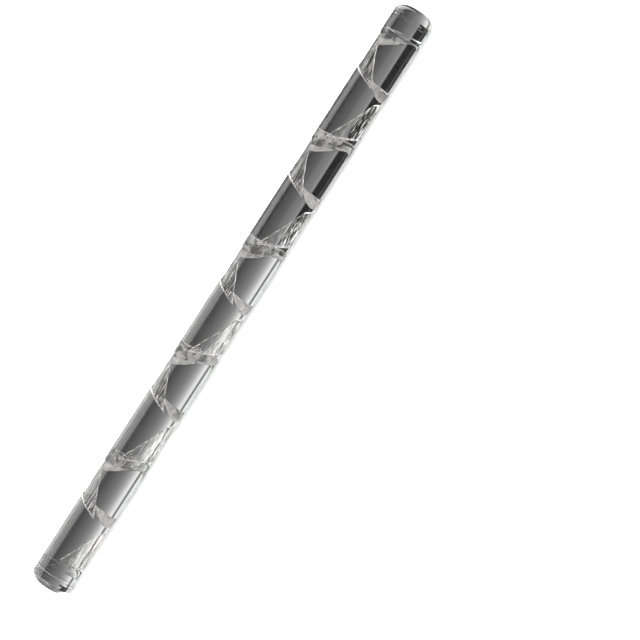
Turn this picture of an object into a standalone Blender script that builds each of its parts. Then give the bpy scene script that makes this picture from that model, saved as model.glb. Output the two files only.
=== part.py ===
"""Acrylic texture rolling pin: a clear bar with sunk lozenges all round, closed by a bonded cap at each end.

The pin lies along X on the plane z = 0, with its left end towards -X. Everything is placed from the
bar's axis. A turn is an angle round that axis: zero on the highest line, growing towards -Y.
"""
import math
import random

import bmesh
import bpy
from mathutils import Matrix, Vector

# The bar
PIN_LENGTH = 0.320
PIN_DIAMETER = 0.020
BOND_GAP = 0.0003

# The rounded end caps, from the bond to the middle of the face
CAP_RIM_LENGTH = 0.0009
CORNER_RADIUS = 0.005
CROWN_HEIGHT = 0.0008
END_FLAT_DIAMETER = 0.005

# The sunk lozenges, measured on the bar's surface laid flat
PATTERN_START = 0.0096
PATTERN_PERIOD = 0.0593
LOZENGE_LENGTH = 0.0515
LOZENGE_WIDTH = 0.0198
LOZENGE_SLANT = math.radians(47)
LOZENGE_DEPTH = 0.0008
WALL_LEAN = 0.0005
FALLING_TURN = math.radians(130)
RISING_TURN = FALLING_TURN - math.radians(180)

# The bark-like floor of each lozenge
RIDGE_PITCH = 0.0026
RIDGE_HEIGHT = 0.00018
RIDGE_WAVE = 0.0110
RIDGE_WANDER = 0.0011
FLOOR_SEED = 7

# The shallow groove where the pattern stops
GROOVE_WIDTH = 0.0010
GROOVE_DEPTH = 0.0004
GROOVE_LEAN = math.radians(7)
GROOVE_LEAN_TURN = math.radians(50)

# How finely the round and the sunk shapes are faceted
BAR_SIDES = 72
LOZENGE_CELLS = 16
CORNER_STEPS = 8
CROWN_STEPS = 3

# Every cutter stands this far out of the surface that it cuts
CUT_OVERRUN = 0.0005
MERGE_DISTANCE = 0.00001

BAR_RADIUS = PIN_DIAMETER / 2
END_CAP_LENGTH = CAP_RIM_LENGTH + CORNER_RADIUS + CROWN_HEIGHT
BARREL_LENGTH = PIN_LENGTH - 2 * END_CAP_LENGTH - 2 * BOND_GAP
PATTERN_FIRST_X = PATTERN_START - PIN_LENGTH / 2
PATTERN_REPEATS = int((BARREL_LENGTH / 2 - PATTERN_FIRST_X) / PATTERN_PERIOD)
PATTERN_LAST_X = PATTERN_FIRST_X + PATTERN_REPEATS * PATTERN_PERIOD
LOZENGE_HALF_SPAN = LOZENGE_LENGTH / 2 * math.cos(LOZENGE_SLANT)


def clear_scene():
    """Removes whatever the scene holds."""
    for thing in list(bpy.data.objects):
        bpy.data.objects.remove(thing, do_unlink=True)


def new_collection(name):
    """Adds a named collection to the scene."""
    collection = bpy.data.collections.new(name)
    bpy.context.scene.collection.children.link(collection)
    return collection


def clear_acrylic(name, tint, roughness):
    """A clear, faintly tinted acrylic."""
    material = bpy.data.materials.new(name)
    material.use_nodes = True
    surface = material.node_tree.nodes["Principled BSDF"]
    surface.inputs["Base Color"].default_value = (*tint, 1.0)
    surface.inputs["Roughness"].default_value = roughness
    surface.inputs["Metallic"].default_value = 0.0
    surface.inputs["Transmission Weight"].default_value = 1.0
    surface.inputs["IOR"].default_value = 1.49
    material.diffuse_color = (*tint, 1.0)
    return material


def add_object(name, mesh, collection, parent):
    """Links a mesh as a named object, carried by a parent."""
    thing = bpy.data.objects.new(name, mesh)
    collection.objects.link(thing)
    thing.parent = parent
    return thing


def hide_cutter(cutter):
    """Shows a cutter as wire only."""
    cutter.hide_render = True
    cutter.display_type = "WIRE"


def smooth_shading(mesh):
    """Smooth shading that keeps the real corners crisp."""
    mesh.shade_smooth()
    mesh.set_sharp_from_angle(angle=math.radians(30))


def point_on_bar(x, turn, radius):
    """A point at a distance along the bar, a turn round it and a radius from its axis."""
    return Vector((x, -radius * math.sin(turn), radius * math.cos(turn)))


def floor_relief(x, arc, phases):
    """The height of the bark-like ridges, which run along the bar and wander sideways."""
    wander = RIDGE_WANDER * math.sin(math.tau * x / RIDGE_WAVE + phases[0])
    ridge = math.sin(math.tau * (arc + wander) / RIDGE_PITCH + phases[1])
    swell = math.sin(math.tau * x / RIDGE_WAVE + phases[2])
    return RIDGE_HEIGHT / 2 * (ridge * (1 + swell) / 2 + swell / 2)


def trim(bm, centre, outward):
    """Cuts away what lies beyond a plane, and closes the cut."""
    everything = bm.verts[:] + bm.edges[:] + bm.faces[:]
    cut = bmesh.ops.bisect_plane(bm, geom=everything, plane_co=centre, plane_no=outward, clear_outer=True)
    rim = [edge for edge in cut["geom_cut"] if isinstance(edge, bmesh.types.BMEdge)]
    if rim:
        bmesh.ops.edgeloop_fill(bm, edges=rim)


def lozenge_cutter_mesh(name, centre_x, centre_turn, lean, groove_axis):
    """A lozenge-shaped block wrapped round the bar: a ridged inner face, leaning walls, a plain outer face.

    The lean is 1 where the lozenge's turn grows along the bar and -1 where it falls.
    """
    along = Vector((math.cos(LOZENGE_SLANT), lean * math.sin(LOZENGE_SLANT))) * LOZENGE_LENGTH / 2
    across = Vector((-math.sin(LOZENGE_SLANT), lean * math.cos(LOZENGE_SLANT))) * LOZENGE_WIDTH / 2
    side = (along - across).length
    centre_to_side = LOZENGE_LENGTH / 2 * LOZENGE_WIDTH / 2 / side
    floor_share = 1 - WALL_LEAN / centre_to_side
    outer_share = 1 + WALL_LEAN * CUT_OVERRUN / LOZENGE_DEPTH / centre_to_side
    chance = random.Random(f"{FLOOR_SEED} {name}")
    phases = [chance.uniform(0, math.tau) for _ in range(3)]

    bm = bmesh.new()
    bmesh.ops.create_grid(bm, x_segments=LOZENGE_CELLS, y_segments=LOZENGE_CELLS, size=1)
    grown = bmesh.ops.extrude_face_region(bm, geom=bm.faces[:])
    outer = {item for item in grown["geom"] if isinstance(item, bmesh.types.BMVert)}
    for vert in bm.verts:
        place = along * (vert.co.x + vert.co.y) / 2 + across * (vert.co.x - vert.co.y) / 2
        if vert in outer:
            place = place * outer_share
            radius = BAR_RADIUS + CUT_OVERRUN
        else:
            place = place * floor_share
            radius = BAR_RADIUS - LOZENGE_DEPTH + floor_relief(place.x, place.y, phases)
        vert.co = point_on_bar(centre_x + place.x, centre_turn + place.y / BAR_RADIUS, radius)
    trim(bm, Vector((PATTERN_FIRST_X, 0, 0)), Vector((-1, 0, 0)))
    trim(bm, Vector((PATTERN_LAST_X, 0, 0)), groove_axis)
    bmesh.ops.triangulate(bm, faces=bm.faces[:])
    bmesh.ops.recalc_face_normals(bm, faces=bm.faces[:])
    mesh = bpy.data.meshes.new(name)
    bm.to_mesh(mesh)
    bm.free()
    return mesh


def lozenge_places():
    """Every lozenge's name, centre, turn and lean: two sets, half a period and half a turn apart.

    The rising set starts with the tip of a lozenge that the pattern's first line cuts off, and ends
    with one that the groove cuts off.
    """
    first = PATTERN_FIRST_X + LOZENGE_HALF_SPAN
    for step in range(PATTERN_REPEATS):
        yield f"falling_{step + 1}", first + step * PATTERN_PERIOD, FALLING_TURN, 1
    for step in range(-1, PATTERN_REPEATS):
        yield f"rising_{step + 1}", first + (step + 0.5) * PATTERN_PERIOD, RISING_TURN, -1


def groove_cutter_mesh(name):
    """A V-shaped ring round the X axis, its point at the groove's bottom."""
    half_width = GROOVE_WIDTH / 2
    outer_half_width = half_width * (GROOVE_DEPTH + CUT_OVERRUN) / GROOVE_DEPTH
    profile = [
        (outer_half_width, BAR_RADIUS + CUT_OVERRUN),
        (-outer_half_width, BAR_RADIUS + CUT_OVERRUN),
        (0, BAR_RADIUS - GROOVE_DEPTH),
    ]
    mesh = bpy.data.meshes.new(name)
    mesh.from_pydata([(x, 0, radius) for x, radius in profile], [(0, 1), (1, 2), (2, 0)], [])
    return mesh


def end_cap_profile():
    """Half of a cap's section as (radius, height), from the middle of the face down to the bond."""
    flat_radius = END_FLAT_DIAMETER / 2
    corner_start = BAR_RADIUS - CORNER_RADIUS
    points = [(0, END_CAP_LENGTH), (flat_radius, END_CAP_LENGTH)]
    for step in range(1, CROWN_STEPS):
        share = step / CROWN_STEPS
        radius = flat_radius + share * (corner_start - flat_radius)
        points.append((radius, END_CAP_LENGTH - CROWN_HEIGHT * share ** 2))
    for step in range(CORNER_STEPS + 1):
        angle = math.radians(90) * step / CORNER_STEPS
        radius = corner_start + CORNER_RADIUS * math.sin(angle)
        height = END_CAP_LENGTH - CROWN_HEIGHT - CORNER_RADIUS * (1 - math.cos(angle))
        points.append((radius, height))
    points.append((BAR_RADIUS, 0))
    points.append((0, 0))
    return points


def add_screw(thing, axis):
    """Turns an object's profile round one of its axes."""
    screw = thing.modifiers.new("turned", "SCREW")
    screw.axis = axis
    screw.steps = BAR_SIDES
    screw.render_steps = BAR_SIDES
    screw.use_merge_vertices = True
    screw.merge_threshold = MERGE_DISTANCE
    screw.use_smooth_shade = True


def add_barrel(collection, cutters, bar_axis):
    """The solid bar, engraved all round and grooved where the pattern stops."""
    bm = bmesh.new()
    lay_down = Matrix.Rotation(math.radians(90), 4, "Y")
    bmesh.ops.create_cone(bm, cap_ends=True, segments=BAR_SIDES, radius1=BAR_RADIUS,
                          radius2=BAR_RADIUS, depth=BARREL_LENGTH, matrix=lay_down)
    mesh = bpy.data.meshes.new("patterned_barrel")
    bm.to_mesh(mesh)
    bm.free()
    smooth_shading(mesh)
    mesh.materials.append(clear_acrylic("barrel_acrylic", (0.93, 0.95, 0.94), 0.03))
    barrel = add_object("patterned_barrel", mesh, collection, bar_axis)

    groove = add_object("groove_cutter", groove_cutter_mesh("groove_cutter"), cutters, bar_axis)
    groove.location = (PATTERN_LAST_X, 0, 0)
    groove.rotation_mode = "ZYX"
    groove.rotation_euler = (GROOVE_LEAN_TURN, 0, GROOVE_LEAN)
    add_screw(groove, "X")
    groove_axis = groove.rotation_euler.to_matrix() @ Vector((1, 0, 0))

    tools = [groove]
    for name, centre_x, turn, lean in lozenge_places():
        cutter_mesh = lozenge_cutter_mesh(name, centre_x, turn, lean, groove_axis)
        tools.append(add_object(name, cutter_mesh, cutters, bar_axis))
    for tool in tools:
        hide_cutter(tool)
        cut = barrel.modifiers.new(tool.name, "BOOLEAN")
        cut.operation = "DIFFERENCE"
        cut.solver = "EXACT"
        cut.object = tool
    return barrel


def add_end_caps(collection, bar_axis):
    """The two bonded caps: one turned shape, facing either way."""
    mesh = bpy.data.meshes.new("end_cap")
    points = end_cap_profile()
    edges = [(index, index + 1) for index in range(len(points) - 1)]
    mesh.from_pydata([(radius, 0, height) for radius, height in points], edges, [])
    mesh.materials.append(clear_acrylic("end_cap_acrylic", (0.95, 0.95, 0.93), 0.03))
    bond = PIN_LENGTH / 2 - END_CAP_LENGTH
    for name, way in (("end_cap_left", -1), ("end_cap_right", 1)):
        cap = add_object(name, mesh, collection, bar_axis)
        cap.location = (way * bond, 0, 0)
        cap.rotation_euler = (0, way * math.radians(90), 0)
        add_screw(cap, "Z")


def main():
    clear_scene()
    pin = new_collection("acrylic_rolling_pin")
    cutters = new_collection("cutters")
    bar_axis = bpy.data.objects.new("bar_axis", None)
    pin.objects.link(bar_axis)
    bar_axis.location = (0, 0, BAR_RADIUS)
    add_barrel(pin, cutters, bar_axis)
    add_end_caps(pin, bar_axis)


main()
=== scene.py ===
"""The clear acrylic texture rolling pin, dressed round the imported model: a polished bar whose sunk
lozenges have leaning walls and a bark-like floor, two rounded end caps, and the studio that they lie in.

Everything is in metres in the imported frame: the bar's axis runs along X, and a turn is an angle round
that axis, zero on the highest line and growing towards -Y.
"""
import math

import bmesh
import bpy
from mathutils import Matrix, Vector, noise


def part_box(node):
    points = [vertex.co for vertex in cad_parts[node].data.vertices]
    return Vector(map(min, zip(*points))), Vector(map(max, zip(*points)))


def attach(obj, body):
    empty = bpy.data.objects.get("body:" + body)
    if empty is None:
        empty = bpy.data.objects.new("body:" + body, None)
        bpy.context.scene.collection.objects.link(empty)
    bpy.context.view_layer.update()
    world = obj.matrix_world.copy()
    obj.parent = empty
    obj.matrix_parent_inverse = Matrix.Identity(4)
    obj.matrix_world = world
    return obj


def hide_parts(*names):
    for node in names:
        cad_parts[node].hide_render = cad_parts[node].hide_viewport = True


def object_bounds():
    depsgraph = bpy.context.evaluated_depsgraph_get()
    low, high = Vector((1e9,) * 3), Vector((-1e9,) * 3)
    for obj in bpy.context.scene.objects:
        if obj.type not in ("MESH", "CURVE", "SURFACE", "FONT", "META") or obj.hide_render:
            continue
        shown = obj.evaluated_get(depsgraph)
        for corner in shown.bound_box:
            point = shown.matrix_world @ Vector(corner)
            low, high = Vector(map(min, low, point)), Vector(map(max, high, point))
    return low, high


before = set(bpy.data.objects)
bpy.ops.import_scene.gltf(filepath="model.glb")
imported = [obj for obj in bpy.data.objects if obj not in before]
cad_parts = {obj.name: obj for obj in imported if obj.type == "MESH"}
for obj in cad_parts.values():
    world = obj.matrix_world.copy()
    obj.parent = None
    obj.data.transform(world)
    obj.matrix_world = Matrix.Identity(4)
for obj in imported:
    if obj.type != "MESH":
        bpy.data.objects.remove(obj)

cad_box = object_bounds()
BARREL_LOW, BARREL_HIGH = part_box("patterned_barrel")
PIN_LOW, PIN_HIGH = cad_box
# Half a micrometre, so that a mesh's rounded numbers stay inside the model's box
ROUNDING_ROOM = 0.0000005
BAR_RADIUS = (PIN_HIGH.z - PIN_LOW.z) / 2 - ROUNDING_ROOM
AXIS_HEIGHT = (PIN_HIGH.z + PIN_LOW.z) / 2

# The end caps: a flat middle, and a corner whose curve is a little fuller than an ellipse, for which the
# fullness would be 2
CORNER_LENGTH = 0.005
CORNER_FULLNESS = 2.15
END_FLAT_DIAMETER = 0.005

# The sunk lozenges, measured on the bar's surface laid flat
PATTERN_START = 0.0096
PATTERN_PERIOD = 0.0593
PATTERN_REPEATS = 5
LOZENGE_LENGTH = 0.0515
LOZENGE_WIDTH = 0.0198
LOZENGE_SLANT = math.radians(47)
LOZENGE_DEPTH = 0.0005
WALL_LEAN = 0.0006
FALLING_TURN = math.radians(130)
RISING_TURN = FALLING_TURN - math.radians(180)
PATTERN_FIRST_X = PIN_LOW.x + PATTERN_START
PATTERN_LAST_X = PATTERN_FIRST_X + PATTERN_REPEATS * PATTERN_PERIOD

# The bark-like grain of the lozenges' floors: how far apart its crests lie, how soon they change along the
# bar, how high they are, how far they wander, how many times sooner that changes across the bar than along
# it, how far they drift sideways, and the fillet where the floor meets a wall
GRAIN_PITCH = 0.0022
GRAIN_LENGTH = 0.009
GRAIN_HEIGHT = 0.00024
GRAIN_WARP = 0.0014
GRAIN_WARP_RATE_ACROSS = 2
GRAIN_DRIFT = 0.1
FILLET_WIDTH = 0.0006
FILLET_RISE = 0.00008
# The crests swell and fade round a middle, and a finer noise lies on them. Both are given as shares of the
# grain's height, and both vary in grain lengths along the bar and in pitches across it.
CREST_SHARE = 0.5
SWELL_MIDDLE = 0.6
SWELL_RATES = (2, 0.6)
SWELL_SEED = 7.3
FINE_SHARE = 0.3
FINE_RATES = (3, 2.3)
FINE_SEED = 3.1
SEED_STEP = 11.7

# Painted light on the far side: pale places that stand in for light glowing through the cut, a tongue
# where the rising lozenges end and the tips of the falling ones. Starts, ends and leans are lengths along
# each repeat, tops and bottoms are distances below the axis in radii, and the slanting edges fade over a
# short length.
TONGUE_START = 0.049
TONGUE_END = 0.0548
TONGUE_LEAN = 0.0135
TONGUE_TOP = 0.5
TONGUE_BOTTOM = 0.67
TIP_START = 0.026
TIP_END = 0.0361
TIP_LEAN = 0.037
TIP_TOP = 0.6
PAINTED_GLOW_EDGE = 0.0003

# The shallow groove where the pattern stops
GROOVE_WIDTH = 0.0006
GROOVE_DEPTH = 0.00022
GROOVE_LEAN = math.radians(7)
GROOVE_LEAN_TURN = math.radians(50)

# The cemented joints between the barrel and the caps: how far from a joint its flat faces lie at most, and
# how wide its hairline is
JOINT_REACH = 0.00035
WELD_WIDTH = 0.00035

# Fineness of the meshes
BAR_SIDES = 256
BAR_RING_SPACING = 0.004
LOZENGE_CELLS = 76
CORNER_STEPS = 32
CUT_OVERRUN = 0.0005
MERGE_DISTANCE = 0.000001

# How faces are told apart: an edge is sharp from an angle on, a polished face lies this close to the bar's
# own round and leans no more than this along the bar, and an end face looks along it
BAR_SHARP_ANGLE = math.radians(32)
CAP_SHARP_ANGLE = math.radians(40)
ON_BAR_SHARE = 0.9995
POLISHED_LEAN = 0.02
END_FACE_LEAN = 0.99

# The acrylic itself
ACRYLIC_COLOUR = (0.985, 0.99, 0.985, 1)
ACRYLIC_IOR = 1.49
# The frost shader's colour, for the cut's own frost and for the painted light that raises its share
FROST_AND_PAINTED_LIGHT_COLOUR = (0.95, 0.93, 0.89, 1)
FROSTED_ROUGHNESS = 0.6
CEMENT_COLOUR = (0.99, 0.99, 0.99, 1)

# How often each noise varies in a metre along X, Y and Z, with its detail and roughness
POLISH_MARKS = ((900, 60, 60), 3, 0.6)
SMUDGES = ((70, 130, 130), 4, 0.55)
FROST = ((1500, 2600, 2600), 3, 0.65)
STREAKS = ((180, 1550, 1550), 0, 0.5)
PATCHES = ((200, 700, 700), 3, 0.6)

# The polish: its roughness, what smudges and polishing marks add, and how high the marks stand
POLISHED_ROUGHNESS = 0.01
SMUDGE_ROUGHNESS = 0.04
SMUDGE_START = 0.45
MARK_ROUGHNESS = 0.02
MARK_START = 0.5
MARK_HEIGHT = 0.0000006

# The frosted hairline round each cemented joint, which is fainter at the right end
WELD_FROSTING = 0.25
RIGHT_WELD_SHARE = 0.3

# Where the bar counts as cut, as a depth and the depth over which that fades in, and how far from the
# middle the tool's finish goes
CUT_START = 0.00002
CUT_FADE = 0.00005
CUT_REACH = 0.1448

# Parts of a cut, each as where it starts and over how much it fades in. The walls go by how far they lean
# from the bar's round. The others are in radii: the near side's low part by how far it lies below the axis,
# the top by how far above it, and the part behind the top by how far it lies behind the axis.
WALL = (0.15, 0.05)
NEAR_LOW = (-0.55, 1)
HIGH = (0.65, 0.333)
BEHIND = (0.15, 0.2)

# Frosted patches and crests, by the height of their noises, and the mottling of the painted glow places
PATCH = (0.53, 0.1)
# Painted light: the patches grow on the far side, where the frost shader whitens them
PATCH_PAINTED_LIGHT_FAR_GAIN = 0.03
CREST = (0.56, 0.083)
MOTTLE = (0.42, 0.167)

# The roughness and the relief that the tool left; its streaks are lower at the top and nearly gone behind it
CUT_ROUGHNESS = 0.005
FROST_ROUGHNESS = 0.02
WALL_ROUGHNESS = 0.12
FROST_HEIGHT = 0.000002
STREAK_HEIGHT = 0.00035
STREAK_HEIGHT_LOST_HIGH = 0.0002
STREAK_SHARE_LOST_BEHIND = 0.95

# The share covered by the frost shader, first everywhere and then what the named place adds. On the far
# side, the low near side and the top crests the added share is painted light, whiter where light fell on
# or through the cut; the rest is the cut's own frost.
FLOOR_PAINTED_LIGHT_FAR = 0.12
# Painted light: how far the frost shader whitens the pale glow places, evenly and where mottled
PAINTED_GLOW_SHARE, PAINTED_GLOW_MOTTLED_SHARE = 0.45, 0.55
PATCH_FROSTING, PATCH_PAINTED_LIGHT_NEAR_LOW, PATCH_PAINTED_LIGHT_FAR = 0.02, 0.1, 0.7
CREST_FROSTING, CREST_PAINTED_LIGHT_NEAR_LOW, CREST_PAINTED_LIGHT_HIGH = 0.04, 0.46, 0.1
WALL_FROSTING, WALL_PAINTED_LIGHT_FAR = 0.2, 0.7

# The photograph's view: where the pin's ends and the frame's middle lie in its 640 by 640 pixels
PHOTO_SIZE = 640
PHOTO_LEFT_END = (47.0, 587.3)
PHOTO_RIGHT_END = (418.1, 10.9)
VIEW_ELEVATION = math.radians(41.7)
VIEW_DISTANCE = 1.366

# What the bar bends into view and mirrors, as (degrees round the bar, brightness): zero is level and away
# from the camera, minus ninety is straight down. One list is the open side and one is the side where black
# card stands. Where a list starts and ends is given by how much a direction points along the bar, from -1,
# left, to 1, right.
OPEN_SIDE = [(-180, 0.05), (-125, 0.25), (-97, 0.6), (-78, 0.1), (-58, 0.05), (-48, 0.08), (-36, 0.15),
             (-29, 0.23), (-20, 0.43), (-9, 0.85), (-5, 0.85), (-1.5, 0.2), (2, 0.1), (5.5, 0.4), (12, 1),
             (33, 1), (38, 3.2), (71, 3.2), (75, 0.4), (98, 0.2), (106, 0.45), (172, 0.45), (180, 0.05)]
CARD_SIDE = [(-180, 0.05), (-130, 0.1), (-118, 0.5), (-106, 0.2), (-97, 0.1), (-83, 0.2), (-71, 0.01),
             (-66, 0.01), (-61, 0.06), (-46, 0.09), (-40, 0.15), (-30, 0.2), (-24, 0.3), (-22, 0.01),
             (-5, 0.005), (-1.5, 0.05), (2, 0.005), (11, 0.005), (15, 0.2), (22, 1), (36, 1.2), (41, 2.6),
             (57, 2.6), (63, 0.4), (98, 0.15), (106, 0.45), (172, 0.45), (180, 0.05)]
CARD_EDGES = (0.012, 0.112)
# What the rounded corner of the left end bends into view
CORNER_SIDE = [(-180, 0.05), (-112, 0.5), (-85, 0.4), (-62, 0.35), (-54, 0.2), (-48, 0.2), (-42, 0.3),
               (-30, 0.15), (8, 0.9), (60, 0.9), (98, 0.2), (106, 0.45), (172, 0.45), (180, 0.05)]
CORNER_START = 0.15
# The slanting black strip that the same corner bends into view: its ends, its lowest and highest turn, how
# many degrees it slants over the whole way from the middle to the right, the turn that it would have in the
# middle, and the degrees over which its slanting and its lower side fade in
BLACK_STRIP_ENDS = (0.108, 0.25)
BLACK_STRIP_TURNS = (-28, 9)
BLACK_STRIP_SLANT = 60
BLACK_STRIP_TURN = -10
BLACK_STRIP_FADES = (3, 4)
BLACK_STRIP_COLOUR = (0.01, 0.008, 0.01, 1)
# The bright room beyond both ends of the bar, which its long faces never mirror
LEFT_ROOM_SIDE = [(-180, 0.3), (-85, 0.3), (-72, 0.1), (-30, 0.15), (60, 0.3), (75, 5.0), (125, 5.0),
                  (135, 1.0), (172, 1.0), (180, 0.3)]
LEFT_ROOM = (0.7, 0.8)
RIGHT_ROOM_SIDE = [(-180, 1.0), (-85, 1.0), (-72, 0.2), (-30, 0.2), (-5, 0.5), (5, 6.0), (50, 6.0),
                   (62, 0.3), (98, 0.3), (106, 1.0), (180, 1.0)]
RIGHT_ROOM = (0.25, 0.4)

# The floor, and the soft lamp over it
FLOOR_HALF_SIZE = 6
FLOOR_COLOUR = (0.9, 0.9, 0.9, 1)
FLOOR_ROUGHNESS = 0.9
LAMP_PLACE = (0, 0, 2.2)
LAMP_AIM = (0, 0, 0)
LAMP_SIZE = (3.0, 3.0)
LAMP_WATTS = 170
SENSOR_WIDTH = 36
CAMERA_RANGE = (0.05, 20)


def point_on_bar(x, turn, radius):
    """A point at a distance along the bar, a turn round it and a radius from its axis."""
    return Vector((x, -radius * math.sin(turn), AXIS_HEIGHT + radius * math.cos(turn)))


def add_piece(name, mesh):
    """Links a mesh as a named object."""
    thing = bpy.data.objects.new(name, mesh)
    bpy.context.scene.collection.objects.link(thing)
    return thing


def mesh_from(bm, name):
    """Turns a bmesh into a mesh."""
    mesh = bpy.data.meshes.new(name)
    bm.to_mesh(mesh)
    bm.free()
    return mesh


class Shade:
    """A value that flows through a node tree; sums written with it add Math nodes."""

    def __init__(self, tree, socket=None):
        self.tree = tree
        self.socket = socket

    def make(self, kind, settings=(), sockets=(), output=0):
        """Adds a node: its settings first, then its sockets' values or links; gives one of its outputs."""
        node = self.tree.nodes.new(kind)
        for name, setting in dict(settings).items():
            if name == "stops":
                fill_ramp(node.color_ramp, setting)
            else:
                setattr(node, name, setting)
        for name, value in dict(sockets).items():
            if isinstance(value, Shade):
                self.tree.links.new(value.socket, node.inputs[name])
            else:
                node.inputs[name].default_value = value
        return Shade(self.tree, node.outputs[output])

    def maths(self, operation, *terms):
        """Adds a Math node over values or numbers."""
        return self.make("ShaderNodeMath", {"operation": operation}, dict(enumerate(terms)))

    def __add__(self, other):
        return self.maths("ADD", self, other)

    def __sub__(self, other):
        return self.maths("SUBTRACT", self, other)

    def __rsub__(self, other):
        return self.maths("SUBTRACT", other, self)

    def __mul__(self, other):
        return self.maths("MULTIPLY", self, other)

    def __truediv__(self, other):
        return self.maths("DIVIDE", self, other)

    def power(self, exponent):
        """Raises a value to a power."""
        return self.maths("POWER", self, exponent)

    def size(self):
        """A value without its sign."""
        return self.maths("ABSOLUTE", self)

    def above(self, level):
        """One where a value is greater than a level, and zero elsewhere."""
        return self.maths("GREATER_THAN", self, level)

    def held(self):
        """Keeps a value between zero and one."""
        return self.make("ShaderNodeClamp", sockets={"Value": self})

    def rising(self, start, width):
        """Zero up to a start, one from a width above it, and even between."""
        return ((self - start) / width).held()

    def stretched(self, times):
        """Multiplies a vector by a number for each axis."""
        return self.make("ShaderNodeVectorMath", {"operation": "MULTIPLY"}, {0: self, 1: times})

    def noise(self, fineness, detail, roughness):
        """A noise at this place, with a fineness for each axis."""
        return self.make("ShaderNodeTexNoise", sockets={
            "Vector": self.stretched(fineness), "Scale": 1.0, "Detail": detail, "Roughness": roughness})

    def covered(self, share, colour):
        """This colour with another one over a share of it."""
        return self.make("ShaderNodeMix", {"data_type": "RGBA"}, {0: share, 6: self, 7: colour}, output=2)

    __radd__ = __add__
    __rmul__ = __mul__


def fill_ramp(ramp, stops):
    """Sets a colour ramp's stops from (place, colour) pairs in rising order."""
    while len(ramp.elements) > 1:
        ramp.elements.remove(ramp.elements[-1])
    for index, (place, colour) in enumerate(stops):
        stop = ramp.elements[0] if index == 0 else ramp.elements.new(place)
        stop.position = place
        stop.color = (*colour, 1)


# The engraved barrel


def grain_height(x, arc, seed):
    """The height of the bark-like grain: long crests that run along the bar, wander and fork."""
    along = x / GRAIN_LENGTH
    warp = GRAIN_WARP * noise.noise(Vector((along, GRAIN_WARP_RATE_ACROSS * arc / GRAIN_LENGTH, seed)))
    across = (arc + warp + GRAIN_DRIFT * x) / GRAIN_PITCH
    swell_along, swell_across = SWELL_RATES
    fine_along, fine_across = FINE_RATES
    swell = noise.noise(Vector((swell_along * along, swell_across * across, seed + SWELL_SEED)))
    fine = noise.noise(Vector((fine_along * along, fine_across * across, seed + FINE_SEED)))
    crest = CREST_SHARE * (SWELL_MIDDLE + swell) * math.cos(math.tau * across)
    return GRAIN_HEIGHT * (crest + FINE_SHARE * fine)


def trim(bm, centre, outward):
    """Cuts away what lies beyond a plane, and closes the cut."""
    everything = bm.verts[:] + bm.edges[:] + bm.faces[:]
    cut = bmesh.ops.bisect_plane(bm, geom=everything, plane_co=centre, plane_no=outward, clear_outer=True)
    rim = [edge for edge in cut["geom_cut"] if isinstance(edge, bmesh.types.BMEdge)]
    if rim:
        bmesh.ops.edgeloop_fill(bm, edges=rim)


def lozenge_cutter(name, centre_x, centre_turn, lean, seed, groove_axis):
    """A lozenge-shaped block wrapped round the bar, its inner face grained and its walls leaning."""
    along = Vector((math.cos(LOZENGE_SLANT), lean * math.sin(LOZENGE_SLANT))) * LOZENGE_LENGTH / 2
    across = Vector((-math.sin(LOZENGE_SLANT), lean * math.cos(LOZENGE_SLANT))) * LOZENGE_WIDTH / 2
    centre_to_side = LOZENGE_LENGTH / 2 * LOZENGE_WIDTH / 2 / (along - across).length
    floor_share = 1 - WALL_LEAN / centre_to_side
    outer_share = 1 + WALL_LEAN * CUT_OVERRUN / LOZENGE_DEPTH / centre_to_side

    bm = bmesh.new()
    bmesh.ops.create_grid(bm, x_segments=LOZENGE_CELLS, y_segments=LOZENGE_CELLS, size=1)
    grown = bmesh.ops.extrude_face_region(bm, geom=bm.faces[:])
    outer = {item for item in grown["geom"] if isinstance(item, bmesh.types.BMVert)}
    for vert in bm.verts:
        place = along * (vert.co.x + vert.co.y) / 2 + across * (vert.co.x - vert.co.y) / 2
        if vert in outer:
            place = place * outer_share
            radius = BAR_RADIUS + CUT_OVERRUN
        else:
            to_wall = (1 - max(abs(vert.co.x), abs(vert.co.y))) * centre_to_side
            fillet = max(0, 1 - to_wall / FILLET_WIDTH) ** 2
            place = place * floor_share
            radius = BAR_RADIUS - LOZENGE_DEPTH + FILLET_RISE * fillet + grain_height(place.x, place.y, seed)
        vert.co = point_on_bar(centre_x + place.x, centre_turn + place.y / BAR_RADIUS, radius)
    trim(bm, Vector((PATTERN_FIRST_X, 0, AXIS_HEIGHT)), Vector((-1, 0, 0)))
    trim(bm, Vector((PATTERN_LAST_X, 0, AXIS_HEIGHT)), groove_axis)
    bmesh.ops.triangulate(bm, faces=bm.faces[:])
    bmesh.ops.recalc_face_normals(bm, faces=bm.faces[:])
    return add_piece(name, mesh_from(bm, name))


def lozenge_places():
    """Every lozenge's centre, turn and lean: two sets, half a period and half a turn apart."""
    first = PATTERN_FIRST_X + LOZENGE_LENGTH / 2 * math.cos(LOZENGE_SLANT)
    for step in range(PATTERN_REPEATS):
        yield first + step * PATTERN_PERIOD, FALLING_TURN, 1
    for step in range(-1, PATTERN_REPEATS):
        yield first + (step + 0.5) * PATTERN_PERIOD, RISING_TURN, -1


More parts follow.
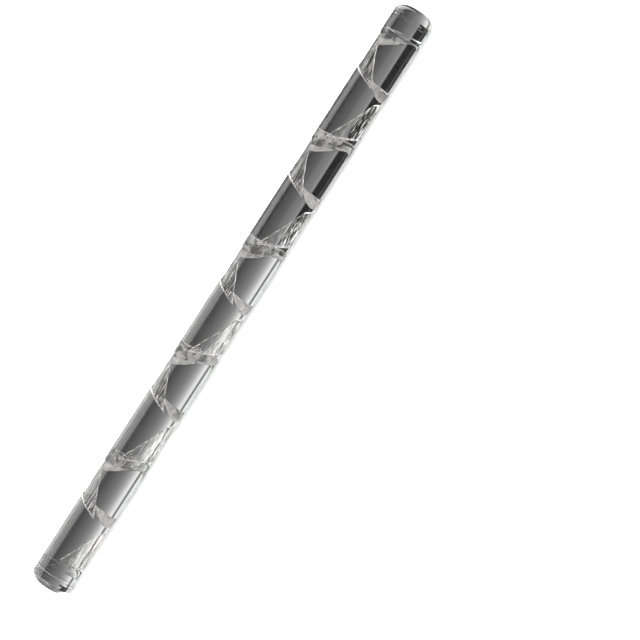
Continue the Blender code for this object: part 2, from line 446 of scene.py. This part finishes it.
def groove_cutter(turned):
    """A V-shaped ring that leans across the bar, its point at the groove's bottom."""
    outer_half_width = GROOVE_WIDTH / 2 * (GROOVE_DEPTH + CUT_OVERRUN) / GROOVE_DEPTH
    section = [
        (outer_half_width, BAR_RADIUS + CUT_OVERRUN),
        (-outer_half_width, BAR_RADIUS + CUT_OVERRUN),
        (0, BAR_RADIUS - GROOVE_DEPTH),
    ]
    bm = bmesh.new()
    ring = [bm.verts.new((x, 0, radius)) for x, radius in section]
    edges = [bm.edges.new((ring[index], ring[(index + 1) % 3])) for index in range(3)]
    bmesh.ops.spin(bm, geom=ring + edges, axis=(1, 0, 0), cent=(0, 0, 0), angle=math.tau,
                   steps=BAR_SIDES, use_merge=True)
    bmesh.ops.recalc_face_normals(bm, faces=bm.faces[:])
    mesh = mesh_from(bm, "groove_cutter")
    mesh.transform(Matrix.Translation((PATTERN_LAST_X, 0, AXIS_HEIGHT)) @ turned.to_4x4())
    return add_piece("groove_cutter", mesh)


def plain_bar():
    """The bar before it is engraved: rings of faces at an even spacing, closed at both ends."""
    length = BARREL_HIGH.x - BARREL_LOW.x
    rings = round(length / BAR_RING_SPACING)
    bm = bmesh.new()
    lay_down = Matrix.Rotation(math.radians(90), 4, "Y")
    middle = Matrix.Translation(((BARREL_HIGH.x + BARREL_LOW.x) / 2, 0, AXIS_HEIGHT))
    bmesh.ops.create_cone(bm, cap_ends=True, segments=BAR_SIDES, radius1=BAR_RADIUS,
                          radius2=BAR_RADIUS, depth=length, matrix=middle @ lay_down)
    long_edges = [edge for edge in bm.edges if abs(edge.verts[0].co.x - edge.verts[1].co.x) > length / 2]
    bmesh.ops.subdivide_edges(bm, edges=long_edges, cuts=rings - 1, use_grid_fill=True)
    return add_piece("clear_barrel", mesh_from(bm, "clear_barrel"))


def exact_bar_normals(mesh):
    """Gives the polished faces the normals of a true cylinder, so that they bend light evenly."""
    mesh.shade_smooth()
    mesh.set_sharp_from_angle(angle=BAR_SHARP_ANGLE)
    flat_radius = BAR_RADIUS * math.cos(math.pi / BAR_SIDES) * ON_BAR_SHARE
    smooth = [corner.vector.copy() for corner in mesh.corner_normals]
    for face in mesh.polygons:
        points = [mesh.vertices[index].co for index in face.vertices]
        from_axis = [Vector((0, point.y, point.z - AXIS_HEIGHT)) for point in points]
        on_bar = all(offset.length > flat_radius for offset in from_axis)
        if on_bar and abs(face.normal.x) < POLISHED_LEAN:
            for loop_index, offset in zip(face.loop_indices, from_axis):
                smooth[loop_index] = offset.normalized()
    mesh.normals_split_custom_set(smooth)


def cement_flat_ends(mesh, cemented):
    """Gives the flat faces square to the bar at its cemented joints the cement's own finish."""
    mesh.materials.append(cemented)
    joints = (BARREL_LOW.x, BARREL_HIGH.x)
    for face in mesh.polygons:
        from_joint = min(abs(face.center.x - joint) for joint in joints)
        if abs(face.normal.x) > END_FACE_LEAN and from_joint < JOINT_REACH:
            face.material_index = 1


def engrave(bar, cutters):
    """Cuts the cutters out of the bar, one after the other, and removes them."""
    for cutter in cutters:
        cut = bar.modifiers.new(cutter.name, "BOOLEAN")
        cut.operation = "DIFFERENCE"
        cut.solver = "MANIFOLD"
        cut.object = cutter
    evaluated = bar.evaluated_get(bpy.context.evaluated_depsgraph_get())
    engraved = bpy.data.meshes.new_from_object(evaluated)
    bar.modifiers.clear()
    bar.data = engraved
    for cutter in cutters:
        bpy.data.objects.remove(cutter, do_unlink=True)


def make_barrel(material, cemented):
    """The engraved bar: the plain bar less the groove and every lozenge."""
    bar = plain_bar()
    turned = Matrix.Rotation(GROOVE_LEAN_TURN, 3, "X") @ Matrix.Rotation(GROOVE_LEAN, 3, "Z")
    groove_axis = turned @ Vector((1, 0, 0))
    cutters = [groove_cutter(turned)]
    for index, (centre_x, turn, lean) in enumerate(lozenge_places()):
        name = f"lozenge_cutter_{index}"
        cutters.append(lozenge_cutter(name, centre_x, turn, lean, index * SEED_STEP, groove_axis))
    engrave(bar, cutters)
    exact_bar_normals(bar.data)
    bar.data.materials.clear()
    bar.data.materials.append(material)
    cement_flat_ends(bar.data, cemented)
    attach(bar, "root")
    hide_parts("patterned_barrel")


# The end caps


def cap_profile(length):
    """Half of a cap's section as (radius, height), from the middle of the face down to the bond."""
    flat_radius = END_FLAT_DIAMETER / 2
    points = [(0, length)]
    for step in range(CORNER_STEPS + 1):
        angle = math.radians(90) * step / CORNER_STEPS
        outward, upward = (abs(part) ** (2 / CORNER_FULLNESS) for part in (math.sin(angle), math.cos(angle)))
        radius = flat_radius + (BAR_RADIUS - flat_radius) * outward
        points.append((radius, length - CORNER_LENGTH * (1 - upward)))
    points.append((BAR_RADIUS, 0))
    points.append((0, 0))
    return points


def make_cap(name, node, way, material, cemented):
    """A turned cap: a flat middle that rounds off, without an edge, into the bar's full width."""
    low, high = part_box(node)
    bond = low.x if way > 0 else high.x
    points = cap_profile(high.x - low.x)
    bm = bmesh.new()
    verts = [bm.verts.new((radius, 0, height)) for radius, height in points]
    edges = [bm.edges.new(pair) for pair in zip(verts, verts[1:])]
    bmesh.ops.spin(bm, geom=verts + edges, axis=(0, 0, 1), cent=(0, 0, 0), angle=math.tau,
                   steps=BAR_SIDES, use_merge=True)
    bmesh.ops.remove_doubles(bm, verts=bm.verts[:], dist=MERGE_DISTANCE)
    bmesh.ops.recalc_face_normals(bm, faces=bm.faces[:])
    mesh = mesh_from(bm, name)
    lay_down = Matrix.Rotation(way * math.radians(90), 4, "Y")
    mesh.transform(Matrix.Translation((bond, 0, AXIS_HEIGHT)) @ lay_down)
    mesh.shade_smooth()
    mesh.set_sharp_from_angle(angle=CAP_SHARP_ANGLE)
    mesh.materials.append(material)
    cement_flat_ends(mesh, cemented)
    cap = add_piece(name, mesh)
    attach(cap, "root")
    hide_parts(node)


# Materials


def painted_glow_places(x, height):
    """Painted glow of light through the cut: the tongues and tips, which the caller keeps to the far side.
    """
    along = x.maths("WRAP", x - PATTERN_FIRST_X, PATTERN_PERIOD, 0)
    down = 0 - height
    tongue = ((TONGUE_END + TONGUE_LEAN * (down - TONGUE_TOP) - along) / PAINTED_GLOW_EDGE).held()
    tongue = tongue * (along - TONGUE_START).above(0) * (TONGUE_BOTTOM - down).above(0)
    tip = ((TIP_END - TIP_LEAN * (down - TONGUE_BOTTOM) - along) / PAINTED_GLOW_EDGE).held()
    tip = tip * (along - TIP_START).above(0) * (down - TIP_TOP).above(0)
    return tongue + tip


def lean_of_face(y, up):
    """How far a face leans from the bar's round: nothing on the bar and the floors, more on a wall."""
    facing = y.make("ShaderNodeNewGeometry", output="True Normal")
    from_axis = y.make("ShaderNodeCombineXYZ", sockets={"Y": y, "Z": up})
    outward = y.make("ShaderNodeVectorMath", {"operation": "NORMALIZE"}, {0: from_axis})
    both = {0: facing, 1: outward}
    return 1 - y.make("ShaderNodeVectorMath", {"operation": "DOT_PRODUCT"}, both, output="Value").size()


def tool_finish_and_painted_light(place, x, y, up):
    """What the engraving tool left, roughness and relief to add, and the share that the frost shader covers:
    the cut's own frost, and painted light on the far side, the low near side and the top crests.
    """
    height = up / BAR_RADIUS
    depth = BAR_RADIUS - (y * y + up * up).power(0.5)
    cut = depth.rising(CUT_START, CUT_FADE) * (CUT_REACH - x.size()).above(0)
    wall = lean_of_face(y, up).rising(*WALL) * cut
    far = y.above(0) * (0 - up).above(0)
    near_low = (0 - height).rising(*NEAR_LOW) * (0 - y).above(0)
    high = height.rising(*HIGH)
    behind = (y / BAR_RADIUS).rising(*BEHIND) * up.above(0)

    frost = place.noise(*FROST)
    streaks = place.noise(*STREAKS)
    patches = place.noise(*PATCHES)
    patch = (patches + PATCH_PAINTED_LIGHT_FAR_GAIN * far).rising(*PATCH)
    crest = streaks.rising(*CREST)
    # Painted light: pale mottled tongues and tips on the far side, as if light glowed through the cut
    painted_glow = painted_glow_places(x, height) * (PAINTED_GLOW_SHARE + PAINTED_GLOW_MOTTLED_SHARE * patches.rising(*MOTTLE))

    roughness = cut * (CUT_ROUGHNESS + FROST_ROUGHNESS * frost) + WALL_ROUGHNESS * wall
    streak_height = STREAK_HEIGHT - STREAK_HEIGHT_LOST_HIGH * high
    streak_height = streak_height * (1 - STREAK_SHARE_LOST_BEHIND * behind)
    relief = cut * (streak_height * streaks + FROST_HEIGHT * frost)
    # Painted light: the far side, the low near side and the top crests get more of the frost shader, as if
    # lit more there, and the crests behind the top get none; the rest is the cut's own frost
    painted_light_on_floor = far * (FLOOR_PAINTED_LIGHT_FAR + painted_glow)
    on_patches = patch * (PATCH_FROSTING + PATCH_PAINTED_LIGHT_NEAR_LOW * near_low + PATCH_PAINTED_LIGHT_FAR * far)
    on_crests = crest * (CREST_FROSTING + CREST_PAINTED_LIGHT_NEAR_LOW * near_low + CREST_PAINTED_LIGHT_HIGH * high)
    on_walls = wall * (WALL_FROSTING + WALL_PAINTED_LIGHT_FAR * far)
    frosting_and_painted_light = cut * (painted_light_on_floor + on_patches + on_crests * (1 - behind)) + on_walls
    return roughness, relief, frosting_and_painted_light


def clear_acrylic(name, engraved):
    """Clear cast acrylic: polished round the bar, with frost from the tool where it is engraved, and painted
    light that raises that frost on some sides of the cut.
    """
    material = bpy.data.materials.new(name)
    material.use_nodes = True
    tree = material.node_tree
    place = Shade(tree).make("ShaderNodeTexCoord", output="Object")
    x, y, z = (place.make("ShaderNodeSeparateXYZ", sockets={"Vector": place}, output=axis) for axis in "XYZ")
    from_joint = (BARREL_HIGH.x - x.size()).size()
    left = (0 - x).above(0)
    weld = (1 - from_joint / WELD_WIDTH).held() * (RIGHT_WELD_SHARE + (1 - RIGHT_WELD_SHARE) * left)

    marks = place.noise(*POLISH_MARKS)
    smudge = SMUDGE_ROUGHNESS * (place.noise(*SMUDGES) - SMUDGE_START).held()
    roughness = POLISHED_ROUGHNESS + smudge + MARK_ROUGHNESS * (marks - MARK_START).held()
    relief = MARK_HEIGHT * marks
    frosting_and_painted_light = WELD_FROSTING * weld
    if engraved:
        added_roughness, added_relief, added_frosting_and_painted_light = tool_finish_and_painted_light(place, x, y, z - AXIS_HEIGHT)
        roughness += added_roughness
        relief += added_relief
        frosting_and_painted_light = (frosting_and_painted_light + added_frosting_and_painted_light).held()

    bump = place.make("ShaderNodeBump", sockets={"Height": relief, "Strength": 1.0, "Distance": 1.0})
    surface = tree.nodes["Principled BSDF"]
    tree.links.new(roughness.socket, surface.inputs["Roughness"])
    tree.links.new(bump.socket, surface.inputs["Normal"])
    surface.inputs["Base Color"].default_value = ACRYLIC_COLOUR
    surface.inputs["IOR"].default_value = ACRYLIC_IOR
    surface.inputs["Transmission Weight"].default_value = 1.0
    # The frost shader: the cut's own frost, and painted light where its share is raised on some sides
    frost_and_painted_light_shader = place.make("ShaderNodeBsdfPrincipled", sockets={
        "Base Color": FROST_AND_PAINTED_LIGHT_COLOUR, "Roughness": FROSTED_ROUGHNESS, "Normal": bump})
    clear = Shade(tree, surface.outputs[0])
    mixed = place.make("ShaderNodeMixShader", sockets={0: frosting_and_painted_light, 1: clear, 2: frost_and_painted_light_shader})
    tree.links.new(mixed.socket, tree.nodes["Material Output"].inputs["Surface"])
    return material


def joint_cement(name):
    """A cemented face: the cement has the acrylic's own refraction, so light goes straight on."""
    material = bpy.data.materials.new(name)
    material.use_nodes = True
    surface = material.node_tree.nodes["Principled BSDF"]
    surface.inputs["Base Color"].default_value = CEMENT_COLOUR
    surface.inputs["Roughness"].default_value = 0.0
    surface.inputs["IOR"].default_value = 1.0
    surface.inputs["Transmission Weight"].default_value = 1.0
    return material


def floor_paint(name):
    """The matt pale finish of the floor."""
    material = bpy.data.materials.new(name)
    material.use_nodes = True
    surface = material.node_tree.nodes["Principled BSDF"]
    surface.inputs["Base Color"].default_value = FLOOR_COLOUR
    surface.inputs["Roughness"].default_value = FLOOR_ROUGHNESS
    return material


# The studio


def round_ramp(turn, levels):
    """Looks a turn, as a share of the whole way round, up in a list of levels."""
    stops = [((degrees + 180) / 360, (level, level, level)) for degrees, level in levels]
    return turn.make("ShaderNodeValToRGB", {"stops": stops}, {"Fac": turn})


def add_floor():
    """A wide pale floor, which hides none of the surround from the light that the acrylic bends."""
    bm = bmesh.new()
    bmesh.ops.create_grid(bm, x_segments=1, y_segments=1, size=FLOOR_HALF_SIZE)
    floor = add_piece("floor", mesh_from(bm, "floor"))
    floor.data.materials.append(floor_paint("pale_floor"))
    floor.visible_transmission = False
    floor.visible_glossy = False


def add_softbox(name):
    """A large soft lamp for the floor: the bar's own light and reflections come from the surround."""
    data = bpy.data.lights.new(name, "AREA")
    data.shape = "RECTANGLE"
    data.size, data.size_y = LAMP_SIZE
    data.energy = LAMP_WATTS
    lamp = bpy.data.objects.new(name, data)
    bpy.context.scene.collection.objects.link(lamp)
    lamp.location = LAMP_PLACE
    lamp.rotation_euler = (Vector(LAMP_AIM) - Vector(LAMP_PLACE)).to_track_quat("-Z", "Y").to_euler()
    lamp.visible_glossy = False
    lamp.visible_transmission = False


def add_camera():
    """The photograph's view: square on to the bar from above, with the camera rolled."""
    photo_across = Vector(PHOTO_RIGHT_END) - Vector(PHOTO_LEFT_END)
    metres_per_pixel = (PIN_HIGH.x - PIN_LOW.x) / photo_across.length
    along = photo_across.normalized()
    down = Vector((-along.y, along.x))
    from_left = Vector((PHOTO_SIZE / 2, PHOTO_SIZE / 2)) - Vector(PHOTO_LEFT_END)
    look = Vector((0, math.cos(VIEW_ELEVATION), -math.sin(VIEW_ELEVATION)))
    rise = Vector((0, math.sin(VIEW_ELEVATION), math.cos(VIEW_ELEVATION)))
    aim = Vector((PIN_LOW.x + from_left.dot(along) * metres_per_pixel, 0, AXIS_HEIGHT))
    aim -= rise * from_left.dot(down) * metres_per_pixel
    roll = math.atan2(-along.y, along.x)
    bar_way = Vector((1, 0, 0))
    right = bar_way * math.cos(roll) - rise * math.sin(roll)
    up = bar_way * math.sin(roll) + rise * math.cos(roll)
    data = bpy.data.cameras.new("camera")
    data.sensor_width = SENSOR_WIDTH
    data.lens = data.sensor_width * VIEW_DISTANCE / (metres_per_pixel * PHOTO_SIZE)
    data.clip_start, data.clip_end = CAMERA_RANGE
    camera = bpy.data.objects.new("camera", data)
    bpy.context.scene.collection.objects.link(camera)
    turn = Matrix((right, up, -look)).transposed()
    camera.matrix_world = Matrix.Translation(aim - look * VIEW_DISTANCE) @ turn.to_4x4()
    bpy.context.scene.camera = camera


def black_strip(x, degrees):
    """Where the slanting black strip lies: along the bar, above its slant and between its turns."""
    low_turn, high_turn = BLACK_STRIP_TURNS
    start, end = BLACK_STRIP_ENDS
    slant_fade, low_fade = BLACK_STRIP_FADES
    strip = (degrees + BLACK_STRIP_SLANT * x).rising(BLACK_STRIP_TURN, slant_fade)
    strip = strip * degrees.rising(low_turn, low_fade) * (high_turn - degrees).above(0)
    return strip * (x.above(start) - x.above(end))


def set_surround():
    """What the bar bends and mirrors: bright behind it, dark below, and black card on the right."""
    world = bpy.data.worlds.new("studio")
    bpy.context.scene.world = world
    world.use_nodes = True
    tree = world.node_tree
    way = Shade(tree).make("ShaderNodeTexCoord", output="Generated")
    x, y, z = (way.make("ShaderNodeSeparateXYZ", sockets={"Vector": way}, output=axis) for axis in "XYZ")
    turn = z.maths("ARCTAN2", z, y) / math.tau + 0.5
    card_start, card_end = CARD_EDGES
    on_card = x.above(card_start) - x.above(card_end)
    left_start, left_full = LEFT_ROOM
    to_left_room = (0 - x).rising(left_start, left_full - left_start)
    right_start, right_full = RIGHT_ROOM
    to_right_room = x.rising(right_start, right_full - right_start)

    seen = round_ramp(turn, OPEN_SIDE)
    seen = seen.covered(on_card, round_ramp(turn, CARD_SIDE))
    seen = seen.covered(x.above(CORNER_START), round_ramp(turn, CORNER_SIDE))
    seen = seen.covered(to_left_room, round_ramp(turn, LEFT_ROOM_SIDE))
    seen = seen.covered(to_right_room, round_ramp(turn, RIGHT_ROOM_SIDE))
    seen = seen.covered(black_strip(x, turn * 360 - 180), BLACK_STRIP_COLOUR)
    background = tree.nodes["Background"]
    tree.links.new(seen.socket, background.inputs["Color"])
    background.inputs["Strength"].default_value = 1.0


barrel_acrylic = clear_acrylic("barrel_acrylic", engraved=True)
cap_acrylic = clear_acrylic("end_cap_acrylic", engraved=False)
cement = joint_cement("joint_cement")
make_barrel(barrel_acrylic, cement)
make_cap("left_cap", "end_cap_left", -1, cap_acrylic, cement)
make_cap("right_cap", "end_cap_right", 1, cap_acrylic, cement)
add_floor()
add_camera()
set_surround()
add_softbox("overhead")
bpy.context.scene.view_settings.view_transform = "Standard"
